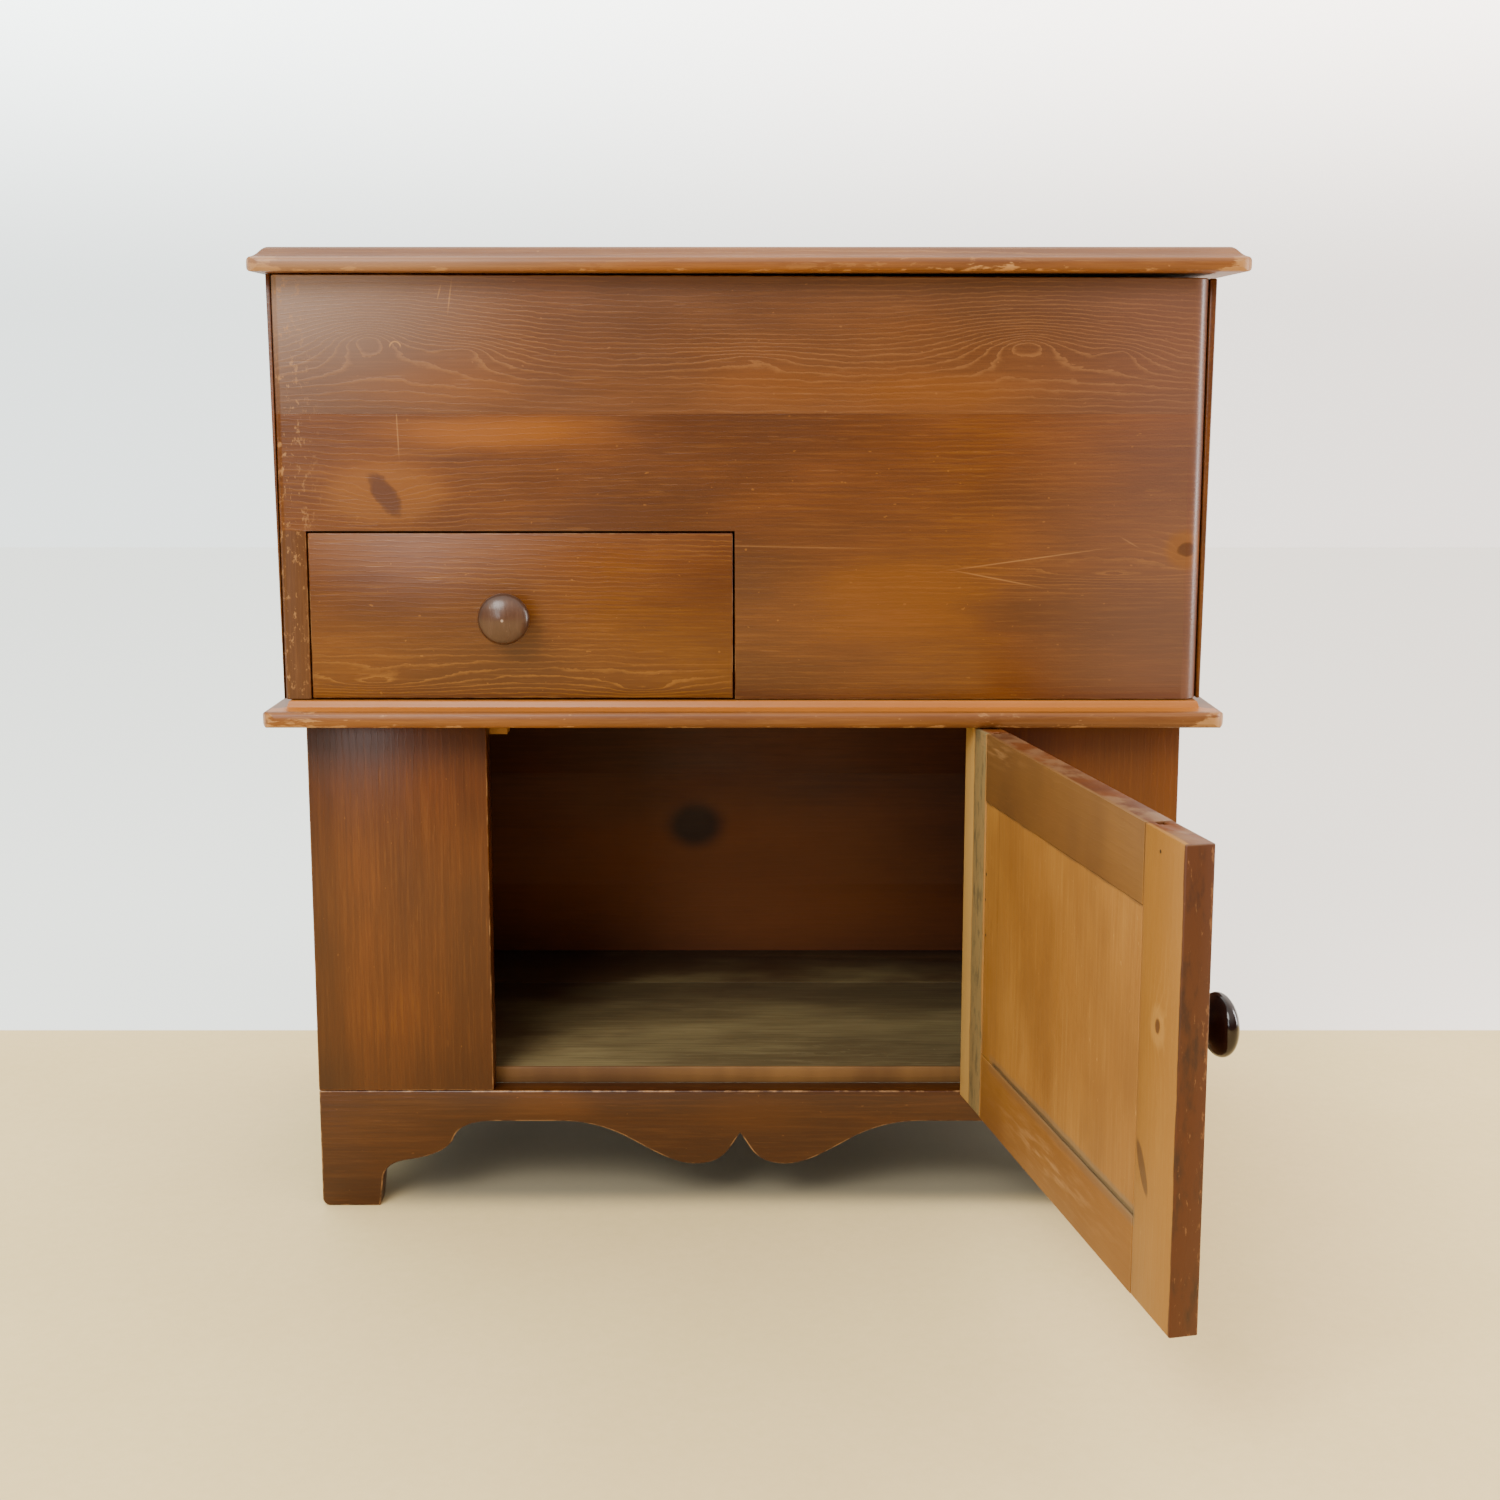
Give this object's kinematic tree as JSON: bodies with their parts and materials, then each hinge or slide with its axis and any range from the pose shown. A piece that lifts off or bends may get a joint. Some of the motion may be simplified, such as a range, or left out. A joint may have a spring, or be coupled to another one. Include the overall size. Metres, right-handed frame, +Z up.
{
  "type": "icebox",
  "caption": "Lift-top wooden icebox: zinc-lined ice well under a hinged lid, a drawer, and a cupboard with a framed door over a scroll-cut apron with feet",
  "frame": {"origin": "on the floor under the middle of the bounding box, with the lid and drawer shut and the door open", "axes": "+Z up; the front with the drawer and door faces -Y; +X to the right seen from the front"},
  "size_m": [0.8596, 0.874, 0.88],
  "materials": {
    "case_wood": "stained and varnished pine, worn",
    "door_wood": "honey pine, satin",
    "inner_wood": "dark aged pine",
    "floor_wood": "grey weathered pine",
    "knob_wood": "dark turned wood, semi-gloss",
    "zinc": "dull sheet zinc",
    "hinge_iron": "dark iron"
  },
  "bodies": {
    "case": {"waist_board": "case_wood", "front_top_board": "case_wood", "front_lower_board": "case_wood", "front_stile_left": "case_wood", "upper_side_left": "case_wood", "upper_side_right": "case_wood", "upper_back_board_top": "inner_wood", "upper_back_board_bottom": "inner_wood", "drawer_divider": "inner_wood", "well_shelf": "inner_wood", "drawer_guide": "inner_wood", "liner_front_sheet": "zinc", "liner_back_sheet": "zinc", "liner_left_sheet": "zinc", "liner_right_sheet": "zinc", "liner_riser": "zinc", "liner_floor_shallow": "zinc", "liner_floor_deep": "zinc", "drain_pipe": "zinc", "lower_panel_left": "case_wood", "lower_panel_right": "case_wood", "front_apron": "case_wood", "lower_side_left": "case_wood", "lower_side_right": "case_wood", "lower_back_board_bottom": "inner_wood", "lower_back_board_middle": "inner_wood", "lower_back_board_top": "inner_wood", "floor_board_front": "floor_wood", "floor_board_rear": "floor_wood", "floor_cleat_left": "inner_wood", "floor_cleat_right": "inner_wood", "door_stop_block": "door_wood", "lid_hinge_case_leaf_left": "hinge_iron", "lid_hinge_case_leaf_right": "hinge_iron", "lid_hinge_pin_left": "hinge_iron", "lid_hinge_pin_right": "hinge_iron", "door_hinge_case_leaf_top": "hinge_iron", "door_hinge_case_leaf_bottom": "hinge_iron", "door_hinge_pin_top": "hinge_iron", "door_hinge_pin_bottom": "hinge_iron"},
    "lid": {"lid_front_board": "case_wood", "lid_rear_board": "case_wood", "lid_batten_left": "door_wood", "lid_batten_right": "door_wood", "lid_hinge_leaf_left": "hinge_iron", "lid_hinge_leaf_right": "hinge_iron"},
    "drawer": {"drawer_front": "case_wood", "drawer_side_left": "door_wood", "drawer_side_right": "door_wood", "drawer_back": "door_wood", "drawer_bottom": "door_wood", "drawer_knob": "knob_wood"},
    "door": {"door_hinge_stile": "door_wood", "door_latch_stile": "door_wood", "door_top_rail": "door_wood", "door_bottom_rail": "door_wood", "door_panel": "door_wood", "door_knob": "knob_wood", "door_hinge_leaf_top": "hinge_iron", "door_hinge_leaf_bottom": "hinge_iron"}
  },
  "joints": [
    {"name": "lid_hinge", "type": "hinge", "parent": "case", "child": "lid", "pos_m": [-0.0001, 0.43295, 0.858], "axis": [-1, 0, 0], "range_deg": [0, 100]},
    {"name": "drawer_slide", "type": "slide", "parent": "case", "child": "drawer", "axis": [0, -1, 0], "range_m": [0, 0.28]},
    {"name": "door_hinge", "type": "hinge", "parent": "case", "child": "door", "pos_m": [0.2214, 0.01615, 0.288], "axis": [0, 0, 1], "range_deg": [-101.9, 70]}
  ]
}
